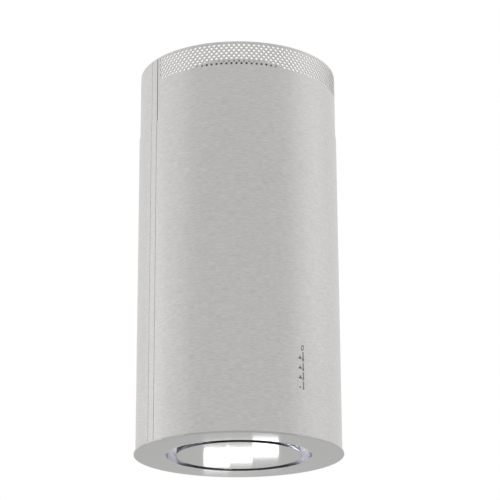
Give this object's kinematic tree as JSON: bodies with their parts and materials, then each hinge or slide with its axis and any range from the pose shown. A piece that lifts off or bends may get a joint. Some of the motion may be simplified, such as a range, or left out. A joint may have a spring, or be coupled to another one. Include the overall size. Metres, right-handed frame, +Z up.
{
  "type": "island range hood",
  "caption": "Brushed-steel cylinder range hood that hangs from the ceiling, with a telescopic tube, a perforated vent band and a round perimeter-suction panel.",
  "frame": {"origin": "centre of the ceiling plate's top face, at the ceiling", "axes": "+Z up along the tube's axis; the touch controls face -Y; the tube's seams lie on -X and +X"},
  "size_m": [0.3868, 0.3868, 0.747],
  "materials": {
    "brushed_tube": "brushed around the tube",
    "satin_steel": "satin",
    "polished_steel": "polished",
    "galvanised": "zinc coated",
    "zinc_fasteners": "bright zinc",
    "filter_aluminium": "satin",
    "duct_foil": "thin foil on a wire helix",
    "case_plastic": "fine grain",
    "motor_metal": "cast",
    "rubber": "matt",
    "foam": "open cell",
    "magnet": "plated",
    "lamp_housing": "satin",
    "lamp_lens": "frosted",
    "circuit_board": "solder mask",
    "capacitor_can": "smooth"
  },
  "bodies": {
    "ceiling_frame": {"ceiling_plate": "galvanised", "ceiling_collar": "galvanised", "upper_uprights": "galvanised", "upper_straps": "galvanised", "shell_arms": "galvanised", "upper_front_shell": "brushed_tube", "upper_rear_shell": "brushed_tube", "upper_joint_strip_left": "brushed_tube", "upper_joint_strip_right": "brushed_tube", "flexible_duct": "duct_foil"},
    "suction_panel": {"panel_skin": "satin_steel", "panel_foam": "foam", "panel_liner": "galvanised", "panel_hinge_lugs": "galvanised", "panel_magnets": "magnet", "hinge_pins": "zinc_fasteners"},
    "impeller": {"impeller_wheel": "case_plastic", "impeller_shaft": "motor_metal"},
    "flap_front": {"flap_front": "case_plastic"},
    "flap_rear": {"flap_rear": "case_plastic"},
    "filter_latch": {"filter_latch": "zinc_fasteners"},
    "hood_body": {"blower_case_left": "case_plastic", "blower_case_right": "case_plastic", "bottom_ring": "satin_steel", "cable_gland": "lamp_housing", "capacitor": "capacitor_can", "catch_plates": "galvanised", "collector": "polished_steel", "control_box": "case_plastic", "control_cover": "case_plastic", "deck": "galvanised", "deck_screws": "zinc_fasteners", "filter_core": "filter_aluminium", "filter_frame": "filter_aluminium", "filter_mesh": "filter_aluminium", "filter_tabs": "galvanised", "flap_pins": "zinc_fasteners", "height_clamp_screws": "zinc_fasteners", "hinge_brackets": "galvanised", "inlet_rings": "case_plastic", "latch_guide": "galvanised", "light_housings": "lamp_housing", "light_lenses": "lamp_lens", "lower_front_shell": "brushed_tube", "lower_joint_strip_left": "brushed_tube", "lower_joint_strip_right": "brushed_tube", "lower_rear_shell": "brushed_tube", "lower_uprights": "galvanised", "main_board": "circuit_board", "motor": "motor_metal", "motor_bracket": "galvanised", "outlet_seal": "rubber", "ring_brackets": "galvanised", "rubber_mounts": "rubber", "shell_studs": "zinc_fasteners", "spigot": "galvanised", "terminal_block": "lamp_housing", "touch_board": "circuit_board", "touch_holder": "lamp_housing"}
  },
  "joints": [
    {"name": "height_slide", "type": "slide", "parent": "ceiling_frame", "child": "hood_body", "axis": [0, 0, 1], "range_m": [-0.11, 0.05], "deforming": ["flexible_duct"]},
    {"name": "panel_hinge", "type": "hinge", "parent": "hood_body", "child": "suction_panel", "pos_m": [0, 0.1, -0.737], "axis": [1, 0, 0], "range_deg": [0, 90]},
    {"name": "impeller_spin", "type": "hinge", "parent": "hood_body", "child": "impeller", "pos_m": [0, 0.055, -0.528], "axis": [1, 0, 0], "continuous": true},
    {"name": "flap_front_hinge", "type": "hinge", "parent": "hood_body", "child": "flap_front", "pos_m": [0, -0.0042, -0.3785], "axis": [-1, 0, 0], "range_deg": [0, 75]},
    {"name": "flap_rear_hinge", "type": "hinge", "parent": "hood_body", "child": "flap_rear", "pos_m": [0, 0.0042, -0.3785], "axis": [1, 0, 0], "range_deg": [0, 75]},
    {"name": "filter_latch_slide", "type": "slide", "parent": "hood_body", "child": "filter_latch", "axis": [0, -1, 0], "range_m": [0, 0.005], "stiffness_N_per_m": 300, "springref_m": -0.004}
  ]
}
